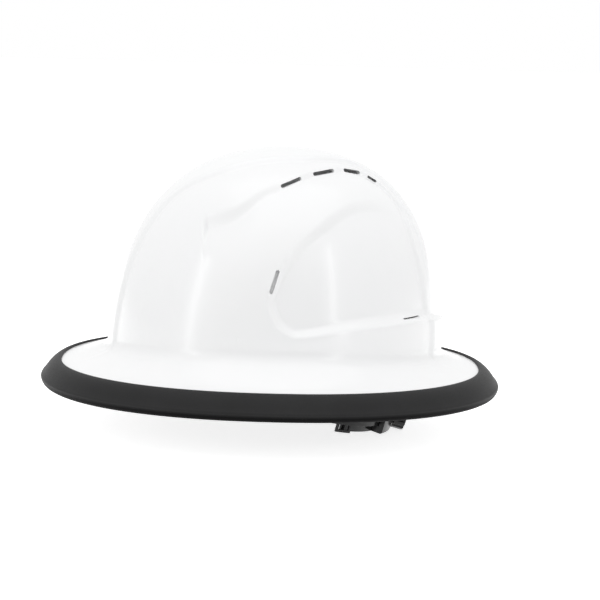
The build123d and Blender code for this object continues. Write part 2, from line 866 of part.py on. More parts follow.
# Ratchet housing, open inside for the two arms, and the plate that closes it
channel_inner = arm_radius - 2 * arm_thickness - arm_layer_gap - channel_gap
channel_outer = arm_radius + channel_gap
case_screw_height = (housing_half_height + arm_height / 2 + channel_gap) / 2
case_screw_places = [
    (90 + side * case_screw_angle, level * case_screw_height) for side in (1, -1) for level in (1, -1)
]
pinion_tip = pitch_radius + tip_height
with BuildPart() as ratchet_housing:
    with BuildSketch(nape_plane):
        add(sector_face(channel_inner, housing_radius, 90 - housing_angle, 90 + housing_angle))
    extrude(amount=housing_half_height, both=True)
    rims = ratchet_housing.edges().filter_by(
        lambda e: e.geom_type == GeomType.CIRCLE and abs(e.radius - housing_radius) < running_gap
    )
    fillet(rims, radius=housing_round)
    with BuildSketch(nape_plane):
        add(
            sector_face(
                channel_inner - overrun, channel_outer, 90 - 2 * housing_angle, 90 + 2 * housing_angle
            )
        )
    extrude(amount=arm_height / 2 + channel_gap, both=True, mode=Mode.SUBTRACT)
    with BuildSketch(knob_plane(channel_inner)):
        Circle(pinion_tip + channel_gap)
    extrude(amount=channel_outer - channel_inner + channel_gap, mode=Mode.SUBTRACT)
    with BuildSketch(knob_plane(housing_radius - housing_round)):
        Circle(boss_radius)
    extrude(amount=housing_round + boss_height)
    with BuildSketch(knob_plane(channel_outer)):
        Circle(spindle_radius + running_gap)
    extrude(amount=overrun, mode=Mode.SUBTRACT)
    for angle, height in case_screw_places:
        with BuildSketch(nape_radial(angle, channel_inner - overrun, height)):
            Circle(case_screw_radius + running_gap)
        extrude(amount=overrun + case_screw_length, mode=Mode.SUBTRACT)
ratchet_housing.part.label = "ratchet_housing"
export_step(ratchet_housing.part, "parts/ratchet_housing.step")

plate_outer = channel_inner - running_gap
plate_inner = plate_outer - back_plate_thickness
with BuildPart() as housing_back_plate:
    with BuildSketch(nape_plane):
        add(sector_face(plate_inner, plate_outer, 90 - back_plate_angle, 90 + back_plate_angle))
    extrude(amount=housing_half_height, both=True)
    with BuildSketch(knob_plane(plate_inner - overrun)):
        Circle(screw_head_radius + soft_gap)
    extrude(amount=2 * overrun, mode=Mode.SUBTRACT)
    for angle, height in case_screw_places:
        with BuildSketch(nape_radial(angle, plate_inner - overrun, height)):
            Circle(case_screw_radius + running_gap)
        extrude(amount=2 * overrun, mode=Mode.SUBTRACT)
        with BuildSketch(nape_radial(angle, plate_inner - overrun, height)):
            Circle(case_screw_head_radius + running_gap)
        extrude(amount=overrun + case_screw_head + soft_gap, mode=Mode.SUBTRACT)
housing_back_plate.part.label = "housing_back_plate"
export_step(housing_back_plate.part, "parts/housing_back_plate.step")

with BuildPart() as case_screws:
    for angle, height in case_screw_places:
        with BuildSketch(nape_radial(angle, plate_inner + soft_gap - running_gap, height)):
            Circle(case_screw_head_radius)
        extrude(amount=case_screw_head)
        with BuildSketch(nape_radial(angle, plate_inner + soft_gap - running_gap, height)):
            Circle(case_screw_radius)
        extrude(amount=case_screw_length)
case_screws.part.label = "case_screws"
export_step(case_screws.part, "parts/case_screws.step")

# Nape pad on the plate
with BuildPart() as nape_pad:
    with BuildSketch(nape_plane):
        pad_outer = plate_inner - soft_gap
        add(
            sector_face(
                pad_outer - nape_pad_thickness, pad_outer, 90 - nape_pad_angle, 90 + nape_pad_angle
            )
        )
    extrude(amount=housing_half_height, both=True)
    fillet(nape_pad.edges(), radius=pad_round)
nape_pad.part.label = "nape_pad"
export_step(nape_pad.part, "parts/nape_pad.step")

# Drive pinion, between the racks, with one tooth straight up
pinion_low = channel_inner + channel_gap - running_gap
pinion_high = arm_radius + running_gap
pinion_root = pitch_radius - root_depth
half_tooth = tooth_pitch / 4 - tooth_backlash / 2
tang_low = pinion_high - tang_length
with BuildPart() as drive_pinion:
    with BuildSketch(knob_plane(pinion_low)):
        Circle(pinion_root)
        with PolarLocations(0, pinion_teeth, start_angle=-90):
            Polygon(
                (0, -half_tooth - root_depth * flank),
                (pinion_root, -half_tooth - root_depth * flank),
                (pitch_radius, -half_tooth),
                (pinion_tip, -half_tooth + tip_height * flank),
                (pinion_tip, half_tooth - tip_height * flank),
                (pitch_radius, half_tooth),
                (pinion_root, half_tooth + root_depth * flank),
                (0, half_tooth + root_depth * flank),
                align=None,
            )
    extrude(amount=pinion_high - pinion_low)
    with BuildSketch(knob_plane(tang_low - running_gap)):
        Rectangle(tang_width + 2 * running_gap, tang_width + 2 * running_gap)
    extrude(amount=overrun, mode=Mode.SUBTRACT)
    with BuildSketch(knob_plane(pinion_low)):
        Circle(screw_radius + running_gap)
    extrude(amount=overrun, mode=Mode.SUBTRACT)
drive_pinion.part.label = "drive_pinion"
export_step(drive_pinion.part, "parts/drive_pinion.step")

# Knob: a lobed cap over the detent, with its spindle and square tang
knob_back = housing_radius + knob_gap
cup_floor = knob_back + knob_cup_depth
screw_end = cup_floor + screw_bite
with BuildPart() as knob:
    with BuildSketch(knob_plane(knob_back)):
        Circle(knob_radius)
        with PolarLocations(knob_radius + knob_lobe_radius / 4, knob_lobes):
            Circle(knob_lobe_radius, mode=Mode.SUBTRACT)
    extrude(amount=knob_face - knob_back)
    fillet(knob.faces().sort_by(knob_line)[-1].edges(), radius=knob_edge_round)
    with BuildSketch(knob_plane(knob_back)):
        Circle(knob_cup_radius)
        with PolarLocations(knob_cup_radius, detent_teeth):
            RegularPolygon(detent_depth, side_count=4)
    extrude(amount=knob_cup_depth, mode=Mode.SUBTRACT)
    with BuildSketch(knob_plane(knob_face - knob_dish_depth)):
        Circle(knob_dish_radius)
    extrude(amount=overrun, mode=Mode.SUBTRACT)
    with BuildSketch(knob_plane(pinion_high + running_gap)):
        Circle(spindle_radius)
    extrude(amount=cup_floor - pinion_high - running_gap)
    with BuildSketch(knob_plane(tang_low)):
        Rectangle(tang_width, tang_width)
    extrude(amount=cup_floor - tang_low)
    with BuildSketch(knob_plane(tang_low)):
        Circle(screw_radius + running_gap)
    extrude(amount=screw_end + running_gap - tang_low, mode=Mode.SUBTRACT)
knob.part.label = "knob"
export_step(knob.part, "parts/knob.step")

# Screw that holds the pinion to the knob, from inside
with BuildPart() as knob_screw:
    with BuildSketch(knob_plane(pinion_low - running_gap - screw_head)):
        Circle(screw_head_radius)
    extrude(amount=screw_head)
    with BuildSketch(knob_plane(pinion_low - running_gap)):
        Circle(screw_radius)
    extrude(amount=screw_end - pinion_low + running_gap)
knob_screw.part.label = "knob_screw"
export_step(knob_screw.part, "parts/knob_screw.step")

# Detent spring: a ring on the housing's boss with two springy pawls inside the knob's cup
spring_low = housing_radius + running_gap
pawl_reach = knob_cup_radius - soft_gap
with BuildPart() as detent_spring:
    with BuildSketch(knob_plane(spring_low + knob_gap)):
        Circle(boss_radius + detent_ring)
        Rectangle(2 * (pawl_reach - detent_arm), 2 * detent_arm)
        for start in (0, 180):
            add(
                sector_face(
                    pawl_reach - 2 * detent_arm, pawl_reach - detent_arm, start, start + detent_sweep
                )
            )
        with PolarLocations(pawl_reach - detent_arm, 2, start_angle=detent_sweep):
            Circle(detent_arm)
        Circle(boss_radius + running_gap, mode=Mode.SUBTRACT)
    extrude(amount=detent_spring_thickness)
detent_spring.part.label = "detent_spring"
export_step(detent_spring.part, "parts/detent_spring.step")
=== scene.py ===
import json
from math import cos, pi, radians, sin

import bpy
import numpy as np
from mathutils import Matrix, Vector


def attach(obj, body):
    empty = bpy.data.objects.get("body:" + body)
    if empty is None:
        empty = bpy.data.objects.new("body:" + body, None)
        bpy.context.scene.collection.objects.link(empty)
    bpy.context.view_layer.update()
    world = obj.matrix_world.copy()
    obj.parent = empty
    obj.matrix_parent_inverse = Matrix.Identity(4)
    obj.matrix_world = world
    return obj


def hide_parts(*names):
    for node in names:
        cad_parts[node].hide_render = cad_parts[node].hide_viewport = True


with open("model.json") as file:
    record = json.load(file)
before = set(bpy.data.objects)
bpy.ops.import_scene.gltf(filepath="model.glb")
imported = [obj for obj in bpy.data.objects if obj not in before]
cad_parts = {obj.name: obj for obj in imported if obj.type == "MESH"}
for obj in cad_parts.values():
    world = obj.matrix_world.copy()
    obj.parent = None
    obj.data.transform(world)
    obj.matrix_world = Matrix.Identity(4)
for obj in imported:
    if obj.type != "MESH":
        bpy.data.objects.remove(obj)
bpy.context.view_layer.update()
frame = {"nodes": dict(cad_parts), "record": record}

scene = bpy.context.scene
MM = 0.001
nodes = frame["nodes"]
mounts = {m["name"]: m for m in frame["record"]["mounts"]}
joints = {j["name"]: j for j in frame["record"]["behaviour"]["joints"]}

# Sizes of the hat, in millimetres. Heights in the shell's own sums are above the brim's edge.
TRIM_HEIGHT = 16.7
BRIM_Z = mounts["brim_rest"]["pos_m"][2] / MM + TRIM_HEIGHT
PIVOT = Vector(joints["nape_swing"]["pos_m"]) / MM
WALL = 2.8

# The dome: half width, half length and height, how strongly its profile starts upright and
# ends level, and how far it leans back for each millimetre of height
DOME_X, DOME_Y, DOME_Z = 103.0, 116.3, 153.3
UPRIGHT, LEVEL = 0.343, 0.933
LEAN = 0.056

# The brim: half width and half length at its visible edge, the power of its outline, its rise
# from the edge to the dome at the sides and at the ends, and its sag between the two
BRIM_X, BRIM_Y, BRIM_POWER = 128.5, 150.0, 2.2
RISE_SIDE, RISE_END = 18.5, 11.0
BRIM_SAG = 0.9
OUTER_FILLET, INNER_FILLET = 7.5, 9.0

# ---------------------------------------------------------------- camera

CAM_ELEVATION = radians(10.1)
CAM_ROLL = radians(1.55)
CAM_DISTANCE = 1.6

cam_data = bpy.data.cameras.new("camera")
cam = bpy.data.objects.new("camera", cam_data)
scene.collection.objects.link(cam)
scene.camera = cam
cam_data.sensor_width = 36
cam_data.lens = 132.5
cam_data.shift_x = 0.0498
cam_data.shift_y = 0.1018
aim = Vector((0, 0, BRIM_Z * MM))
out = Vector((cos(CAM_ELEVATION), 0, sin(CAM_ELEVATION)))
cam.location = aim + out * CAM_DISTANCE
look = out.to_track_quat("Z", "Y")
cam.rotation_euler = (look.to_matrix() @ Matrix.Rotation(CAM_ROLL, 3, "Z")).to_euler()


# ---------------------------------------------------------------- material helpers

def new_material(name):
    mat = bpy.data.materials.new(name)
    mat.use_nodes = True
    tree = mat.node_tree
    return mat, tree, tree.nodes["Principled BSDF"]


def put(tree, made, values):
    """Give a node's inputs plain values or other nodes' results."""
    for key, value in values.items():
        if isinstance(value, bpy.types.NodeSocket):
            tree.links.new(value, made.inputs[key])
        else:
            made.inputs[key].default_value = value


def node(tree, kind, inputs, **settings):
    """A new node with its settings and inputs."""
    made = tree.nodes.new(kind)
    for key, value in settings.items():
        setattr(made, key, value)
    put(tree, made, inputs)
    return made


def object_coords(tree):
    return node(tree, "ShaderNodeTexCoord", {}).outputs["Object"]


def noise(tree, coords, scale, detail):
    inputs = {"Vector": coords, "Scale": scale, "Detail": detail, "Roughness": 0.55}
    return node(tree, "ShaderNodeTexNoise", inputs).outputs["Fac"]


def span(tree, value, low, high, out_low, out_high):
    """A value's range from low to high, brought to another range."""
    inputs = {
        "Value": value, "From Min": low, "From Max": high, "To Min": out_low, "To Max": out_high,
    }
    return node(tree, "ShaderNodeMapRange", inputs).outputs["Result"]


def spread(tree, value, low, high):
    """A noise, whose values lie mostly between 0.3 and 0.7, brought to a range."""
    return span(tree, value, 0.3, 0.7, low, high)


def two_tone(tree, value, dark, light):
    """Colour from dark to light as a value goes from 0 to 1."""
    inputs = {"Factor": value, "A": dark, "B": light}
    for key in ("A", "B"):
        if not isinstance(inputs[key], bpy.types.NodeSocket):
            inputs[key] = (*inputs[key], 1)
    return node(tree, "ShaderNodeMix", inputs, data_type="RGBA").outputs["Result"]


def bump(tree, height, distance, strength, normal=None):
    """Normal of a small relief, on top of another normal where one is given."""
    inputs = {"Height": height, "Distance": distance, "Strength": strength}
    if normal is not None:
        inputs["Normal"] = normal
    return node(tree, "ShaderNodeBump", inputs).outputs["Normal"]


def split(tree, vector):
    """The three parts of a vector."""
    return node(tree, "ShaderNodeSeparateXYZ", {"Vector": vector}).outputs


def calc(tree, operation, *values):
    """Result of one operation on plain numbers and other nodes' results."""
    return node(tree, "ShaderNodeMath", dict(enumerate(values)), operation=operation).outputs[0]


# ---------------------------------------------------------------- materials

def gloss_white():
    mat, tree, shader = new_material("gloss_white_shell")
    coords = object_coords(tree)
    broad = noise(tree, coords, 9.0, 3.0)
    fine = noise(tree, coords, 900.0, 2.0)
    tone = spread(tree, broad, 0.0, 1.0)
    put(tree, shader, {
        "Base Color": two_tone(tree, tone, (0.868, 0.872, 0.878), (0.885, 0.888, 0.89)),
        "Roughness": spread(tree, broad, 0.2, 0.26),
        "IOR": 1.5,
        "Coat Weight": 0.25,
        "Coat Roughness": 0.12,
        "Normal": bump(tree, fine, 0.00001, 0.25),
    })
    return mat


def satin_rubber():
    mat, tree, shader = new_material("satin_rubber_trim")
    coords = object_coords(tree)
    broad = noise(tree, coords, 30.0, 4.0)
    grain = noise(tree, coords, 1400.0, 3.0)
    tone = spread(tree, broad, 0.0, 1.0)
    lit_upper_tone = two_tone(tree, tone, (0.012, 0.012, 0.0125), (0.016, 0.016, 0.0165))
    # Painted shade: faces that turn downwards get a blacker colour and a weaker specular, as if in
    # shade, and upward faces keep a lighter colour, as if lit
    facing = split(tree, node(tree, "ShaderNodeNewGeometry", {}).outputs["Normal"])
    painted_underside_shade = span(tree, facing["Z"], -0.45, 0.0, 1.0, 0.0)
    put(tree, shader, {
        # the blacker colour of the underside is painted shade, not the rubber's own colour
        "Base Color": two_tone(tree, painted_underside_shade, lit_upper_tone, (0.004, 0.004, 0.0042)),
        "Specular IOR Level": span(tree, painted_underside_shade, 0.0, 1.0, 0.2, 0.04),
        "Roughness": spread(tree, grain, 0.46, 0.6),
        "Normal": bump(tree, grain, 0.00004, 0.35),
    })
    return mat


def moulded(name, dark, light, rough, grain_scale=1100.0, grain=0.00003, coat=0.0):
    """Plastic with a fine grain and with edges that shade as if rounded."""
    mat, tree, shader = new_material(name)
    coords = object_coords(tree)
    broad = noise(tree, coords, 45.0, 4.0)
    fine = noise(tree, coords, grain_scale, 2.0)
    rounded = node(tree, "ShaderNodeBevel", {"Radius": 0.0005}).outputs["Normal"]
    put(tree, shader, {
        "Base Color": two_tone(tree, spread(tree, broad, 0.0, 1.0), dark, light),
        "Roughness": spread(tree, fine, *rough),
        "Specular IOR Level": 0.3,
        "Coat Weight": coat,
        "Coat Roughness": 0.1,
        "Normal": bump(tree, fine, grain, 0.5, rounded),
    })
    return mat


def steel():
    mat, tree, shader = new_material("zinc_screws")
    broad = noise(tree, object_coords(tree), 500.0, 3.0)
    tone = spread(tree, broad, 0.0, 1.0)
    put(tree, shader, {
        "Base Color": two_tone(tree, tone, (0.42, 0.42, 0.43), (0.58, 0.58, 0.58)),
        "Metallic": 1.0,
        "Roughness": spread(tree, broad, 0.28, 0.42),
        "Normal": bump(tree, broad, 0.00003, 0.4),
    })
    return mat


def woven(name, pitch, dark, light):
    """Webbing: a plain weave along the piece's own UVs, which are in metres."""
    mat, tree, shader = new_material(name)
    uv = split(tree, node(tree, "ShaderNodeTexCoord", {}).outputs["UV"])
    warp, weft = (
        calc(tree, "SINE", calc(tree, "MULTIPLY", uv[axis], pi / pitch)) for axis in ("X", "Y")
    )
    tone = span(tree, calc(tree, "MULTIPLY", warp, weft), -1.0, 1.0, 0.0, 1.0)
    put(tree, shader, {
        "Base Color": two_tone(tree, tone, dark, light),
        "Roughness": 0.75,
        "Sheen Weight": 0.25,
        "Sheen Roughness": 0.4,
        "Normal": bump(tree, tone, 0.00025, 0.9),
    })
    return mat


def knitted(name, dark, light):
    """Knitted cover over foam."""
    mat, tree, shader = new_material(name)
    coords = object_coords(tree)
    inputs = {"Vector": coords, "Scale": 900.0}
    cells = node(tree, "ShaderNodeTexVoronoi", inputs).outputs["Distance"]
    swell = bump(tree, noise(tree, coords, 60.0, 4.0), 0.0008, 0.3)
    put(tree, shader, {
        "Base Color": two_tone(tree, span(tree, cells, 0.0, 0.6, 0.0, 1.0), dark, light),
        "Roughness": 0.85,
        "Sheen Weight": 0.3,
        "Normal": bump(tree, cells, 0.0004, 0.7, swell),
    })
    return mat


WHITE = gloss_white()
RUBBER = satin_rubber()
STEEL = steel()
BLACK = moulded(
    "fine_black_plastic", (0.018, 0.018, 0.019), (0.026, 0.026, 0.027), (0.42, 0.56),
)
BAND = moulded("satin_black_plastic", (0.02, 0.02, 0.021), (0.028, 0.028, 0.029), (0.34, 0.46))
GLOSS = moulded(
    "gloss_black_plastic", (0.008, 0.008, 0.0085), (0.012, 0.012, 0.0125), (0.16, 0.24),
    grain_scale=700.0, grain=0.00001, coat=0.1,
)
NYLON = moulded("plain_nylon", (0.045, 0.045, 0.047), (0.06, 0.06, 0.062), (0.4, 0.5))
THREAD = moulded(
    "polyester_thread", (0.06, 0.06, 0.063), (0.1, 0.1, 0.104), (0.5, 0.7),
    grain_scale=5000.0, grain=0.00006,
)
WEBBING = woven("woven_webbing", 0.0011, (0.012, 0.012, 0.013), (0.05, 0.05, 0.053))
PADDING = knitted("knitted_cover", (0.02, 0.02, 0.021), (0.045, 0.045, 0.048))


# ---------------------------------------------------------------- mesh helpers

def add_mesh(name, points, faces, material, smooth=True, sharp=None):
    """Mesh object from points in millimetres, with edges sharper than an angle kept sharp."""
    mesh = bpy.data.meshes.new(name)
    mesh.from_pydata([tuple(p) for p in np.asarray(points, dtype=float) * MM], [], faces)
    mesh.materials.append(material)
    mesh.polygons.foreach_set("use_smooth", [smooth] * len(mesh.polygons))
    mesh.update()
    obj = bpy.data.objects.new(name, mesh)
    scene.collection.objects.link(obj)
    if sharp:
        mesh.set_sharp_from_angle(angle=radians(sharp))
    return obj


def lattice(rows, columns, start=0):
    """Quads of a grid of rows by columns, closed round the columns."""
    faces = []
    for i in range(rows - 1):
        for j in range(columns):
            a = start + i * columns + j
            b = start + i * columns + (j + 1) % columns
            faces.append((a, b, b + columns, a + columns))
    return faces


def tube_faces(rows, columns):
    """Faces of a solid bar: a grid closed round the columns, and its two ends."""
    ends = [tuple(range(columns))[::-1], tuple(range((rows - 1) * columns, rows * columns))]
    return lattice(rows, columns) + ends


def turned(faces):
    """The same faces, looking the other way."""
    return [tuple(reversed(face)) for face in faces]


def merged(name, solids, material, smooth=False):
    """One object from several closed lots of points and faces."""
    points, faces = [], []
    for more_points, more_faces in solids:
        start = len(points)
        points += [tuple(p) for p in more_points]
        faces += [tuple(start + i for i in face) for face in more_faces]
    return add_mesh(name, points, faces, material, smooth=smooth)


def apply_boolean(target, tool, operation):
    """Join a solid to the target, or cut it out, and clear it away."""
    modifier = target.modifiers.new("shape", "BOOLEAN")
    modifier.operation = operation
    modifier.solver = "EXACT"
    modifier.object = tool
    bpy.context.view_layer.update()
    graph = bpy.context.evaluated_depsgraph_get()
    mesh = bpy.data.meshes.new_from_object(target.evaluated_get(graph))
    target.modifiers.clear()
    old = target.data
    target.data = mesh
    bpy.data.meshes.remove(old)
    mesh.name = target.name
    bpy.data.objects.remove(tool)


# ---------------------------------------------------------------- curves

def ramp(u, corner=0.25):
    """A straight ramp from 0 to 1 with rounded corners."""
    def bend(v):
        rounded = (v + corner) ** 2 / (4 * corner)
        return np.where(v <= -corner, 0.0, np.where(v >= corner, v, rounded))
    return bend(u) - bend(u - 1)


def smooth_line(xs, ys):
    """A natural cubic spline through points, as a function."""
    xs, ys = np.asarray(xs, float), np.asarray(ys, float)
    n = len(xs)
    h = np.diff(xs)
    a = np.zeros((n, n))
    b = np.zeros(n)
    a[0, 0] = a[-1, -1] = 1
    for i in range(1, n - 1):
        a[i, i - 1], a[i, i], a[i, i + 1] = h[i - 1], 2 * (h[i - 1] + h[i]), h[i]
        b[i] = 6 * ((ys[i + 1] - ys[i]) / h[i] - (ys[i] - ys[i - 1]) / h[i - 1])
    m = np.linalg.solve(a, b)

    def value(x):
        x = np.clip(x, xs[0], xs[-1])
        i = np.clip(np.searchsorted(xs, x) - 1, 0, n - 2)
        d0, d1 = x - xs[i], xs[i + 1] - x
        return (
            m[i] * d1 ** 3 / (6 * h[i])
            + m[i + 1] * d0 ** 3 / (6 * h[i])
            + (ys[i] / h[i] - m[i] * h[i] / 6) * d1
            + (ys[i + 1] / h[i] - m[i + 1] * h[i] / 6) * d0
        )
    return value


def closed_curve(points, steps):
    """Points of a closed smooth curve through the given ones."""
    points = np.asarray(points, float)
    n = len(points)
    curve = []
    for i in range(n):
        p0, p1, p2, p3 = (points[(i + k) % n] for k in (-1, 0, 1, 2))
        for s in range(steps):
            t = s / steps
            curve.append(
                0.5 * (2 * p1 + (p2 - p0) * t + (2 * p0 - 5 * p1 + 4 * p2 - p3) * t * t
                       + (3 * p1 - p0 - 3 * p2 + p3) * t ** 3)
            )
    return np.array(curve)


def inside_distance(y, z, outline):
    """Signed distance to a closed outline, positive inside."""
    best = np.full(y.shape, 1e9)
    odd = np.zeros(y.shape, bool)
    for (ay, az), (by, bz) in zip(outline, np.roll(outline, -1, axis=0)):
        ey, ez = by - ay, bz - az
        t = np.clip(((y - ay) * ey + (z - az) * ez) / (ey * ey + ez * ez), 0, 1)
        best = np.minimum(best, np.hypot(y - ay - t * ey, z - az - t * ez))
        if ez:
            odd ^= ((az > z) != (bz > z)) & (y < ay + (z - az) * ey / ez)
    return np.where(odd, best, -best)


# ---------------------------------------------------------------- lines of the shell's reliefs

# Against the distance along the hat, from the front to the back: the crown's edge, where the
# scoops start, and the centre band's edge, both as distances from the middle
crown_line = smooth_line(
    [-60, -47.4, -26.9, -16.8, -8.7, 4.3, 18.1, 26.4, 40.9, 48, 58, 70, 88, 125],
    [61.5, 63.8, 68.5, 66.6, 63.2, 58.9, 50.6, 44.7, 32.9, 26.6, 18.6, 15.4, 20.0, 34.0],
)
band_line = smooth_line(
    [
        -125, -110, -99.3, -95.8, -82, -68.2, -56, -38.5, -21.2, 3, 20.5,
        31, 44, 58, 70, 80, 88, 94, 99, 104, 125,
    ],
    [
        34.0, 31.0, 27.5, 27.2, 27.0, 28.2, 32.2, 36.2, 36.7, 35.0, 31.5,
        26.0, 17.6, 11.9, 11.0, 13.0, 19.5, 32.0, 37.5, 39.2, 38.5,
    ],
)

# The scoops: width of the step beside the crown, how far they fade out sideways, and depth
scoop_width = smooth_line(
    [-60, -47, -27, -17, -8, 4, 40, 125], [2.6, 2.6, 2.5, 2.3, 2.1, 2.0, 2.0, 2.4],
)
scoop_reach = smooth_line([-60, -47, -20, 10, 40, 125], [12, 14, 26, 40, 44, 44])
scoop_drop = smooth_line(
    [-60, -47, -27, -17, -9, 4, 40, 70, 90, 125],
    [7.0, 6.9, 6.7, 5.2, 3.8, 3.2, 3.0, 2.8, 2.3, 2.0],
)

# The ear panel's outline from the side, and the height of the ledge below it, both against the
# distance along the hat
EAR_OUTLINE = closed_curve(
    [
        (19.8, 34.3), (12, 35.8), (4.4, 41), (-0.2, 49.4), (-2.5, 59.4), (0.8, 69.5),
        (5, 79.4), (11.5, 89.3), (21.4, 100.6), (33.2, 110.5), (45.1, 118.6), (56, 122.6),
        (68, 123), (80, 120.5), (94, 113), (108, 100), (124, 84), (140, 60),
        (134, 43.6), (112, 41.2), (93, 42.6), (75, 42.1), (57, 40.4), (40, 37.4),
    ],
    8,
)
ear_ledge = smooth_line(
    [0, 20, 40, 57, 75, 93, 104, 112, 118, 123, 130],
    [34, 34, 37.2, 40.2, 41.9, 42.6, 42.2, 40.9, 38.6, 37.0, 36.5],
)

# Where the scoops start along the hat, how proud the centre band is and how wide its edge, how
# deep the ear panels are let in, and how proud the band below them is at the back and the sides
SCOOP_START = -48.4
BAND_PROUD, BAND_EDGE = 2.3, 3.6
PANEL_DEPTH = 4.0
REAR_PROUD, SIDE_PROUD = 4.5, 0.5
# What is left of the reliefs where the brim starts, and how much wider their steps are inside
BRIM_RELIEF = 0.55
INSIDE_WIDTH = 1.25


def relieve(x, y, z, weight, width_scale):
    """Let the reliefs into plain dome points: scoops, centre band, ear panels and rear band."""
    side = np.sign(x)
    ax = np.abs(x)

    # Scoops beside the crown, dropped straight down
    across = ramp((ax - crown_line(y)) / (scoop_width(y) * width_scale), 0.22)
    behind = ramp((y - SCOOP_START) / (2.2 * width_scale), 0.3)
    above = ramp((z - 62) / 30.0, 0.4)
    near_crown = 1 - ramp((ax - crown_line(y) - 2.0) / scoop_reach(y), 0.4)
    z = z - scoop_drop(y) * across * behind * above * near_crown * weight

    # Centre band, proud along the dome's normal
    nx, ny = x / DOME_X ** 2, (y - LEAN * z) / DOME_Y ** 2
    nz = np.maximum(z, 0) ** 1.6 / DOME_Z ** 2.6
    length = np.sqrt(nx * nx + ny * ny + nz * nz) + 1e-12
    edge = BAND_EDGE * width_scale
    foot = ramp(z / 16.0, 0.3)
    proud = BAND_PROUD * (1 - ramp((ax - band_line(y) + edge * 0.5) / edge, 0.4)) * weight * foot
    x = x + proud * nx / length
    y = y + proud * ny / length
    z = z + proud * nz / length

    # Ear panels, let in sideways, shallower where they run out at the upper back
    depth = inside_distance(y, z, EAR_OUTLINE)
    upper = np.clip((z - 50) / 40, 0, 1)
    bevel = (4.6 + 2.6 * upper * np.clip((y - 5) / 30, 0, 1)) * width_scale
    panel = ramp(depth / bevel, 0.2)
    shallow = 1 - 0.65 * ramp((y - 72) / 34, 0.4) * ramp((z - 78) / 26, 0.4)
    off_middle = ramp((ax - 24) / 22, 0.4)
    x = x - side * PANEL_DEPTH * panel * shallow * off_middle * weight

    # Rear band below the panels' ledge, proud of the dome
    below = 1 - ramp((z - ear_ledge(y) + 1.6) / (2.6 * width_scale), 0.25)
    start = ramp((y - 14) / 70, 0.4)
    back = ramp((y - 20) / 50, 0.4)
    y = y + REAR_PROUD * below * back * weight
    x = x + side * SIDE_PROUD * below * start * off_middle * weight
    return x, y, z


# ---------------------------------------------------------------- plain shell

def dome_profile(t):
    """Share of the dome's reach and height, from its foot at 0 to the crown at 1."""
    reach = (1 - t) ** 3 + 3 * t * (1 - t) ** 2 + 3 * LEVEL * t * t * (1 - t)
    height = 3 * UPRIGHT * t * (1 - t) ** 2 + 3 * t * t * (1 - t) + t ** 3
    return reach, height


def dome_height_at(x, y):
    """Height of the plain dome over a plan point."""
    reach, height = dome_profile(np.linspace(0, 1, 2000))
    z = height * DOME_Z
    return z[np.argmin(np.abs(np.hypot(x / DOME_X, (y - LEAN * z) / DOME_Y) - reach))]


def brim_edge(angle, grow=0.0):
    """Plan point of the brim's visible edge in a direction, grown outwards."""
    c, s = np.cos(angle), np.sin(angle)
    across = np.abs(c / (BRIM_X + grow)) ** BRIM_POWER
    along = np.abs(s / (BRIM_Y + grow)) ** BRIM_POWER
    radius = (across + along) ** (-1 / BRIM_POWER)
    return radius * c, radius * s


def shell_side(shrink, fillet, width_scale, columns, dome_rows, fillet_rows, brim_rows):
    """Rows of points down one side of the wall: dome, fillet and brim, from the crown out."""
    phi = np.linspace(0, 2 * pi, columns, endpoint=False)
    c, s = np.cos(phi), np.sin(phi)
    half_x, half_y, high = DOME_X - shrink, DOME_Y - shrink, DOME_Z - shrink
    rise = RISE_END + (RISE_SIDE - RISE_END) * c * c - shrink
    t_all = np.linspace(0, 1, 600)
    reach_all, height_all = dome_profile(t_all)
    rows = []

    # Even steps along the dome's profile, down to where the fillet starts
    run = np.r_[0, np.cumsum(np.hypot(np.diff(reach_all) * half_y, np.diff(height_all) * high))]
    run_start = np.interp((rise + fillet) / high, height_all, run)
    for i in range(dome_rows):
        share = i / (dome_rows - 1)
        t = np.interp(run[-1] + (run_start - run[-1]) * share, run, t_all)
        reach, height = dome_profile(t)
        z = height * high
        rows.append((half_x * reach * c, half_y * reach * s + LEAN * z, z, np.ones(columns)))

    # Fillet round the dome's own point at the junction, then the brim straight out to its edge
    reach = np.interp(rise / high, height_all, reach_all)
    corner = np.array([half_x * reach * c, half_y * reach * s + LEAN * rise, rise])
    angle = np.arctan2(corner[1], corner[0])
    edge = np.array([*brim_edge(angle), np.full(columns, -shrink)])
    length = np.linalg.norm(edge - corner, axis=0)
    above = np.array(rows[-1][:3])
    below = corner + (edge - corner) * (np.minimum(fillet, 0.6 * length) / length)
    for i in range(1, fillet_rows + 1):
        u = i / fillet_rows
        point = (1 - u) ** 2 * above + 2 * u * (1 - u) * corner + u * u * below
        rows.append((*point, np.full(columns, 1 - (1 - BRIM_RELIEF) * u)))
    for i in range(1, brim_rows + 1):
        u = i / brim_rows
        x, y, z = below + (edge - below) * u
        fade = 1 - ramp(np.full(columns, u / 0.7), 0.4)
        rows.append((x, y, z - BRIM_SAG * np.sin(pi * u), BRIM_RELIEF * fade))

    x, y, z, weight = (np.array(part) for part in zip(*rows))
    return (*relieve(x, y, z, weight, width_scale), angle)


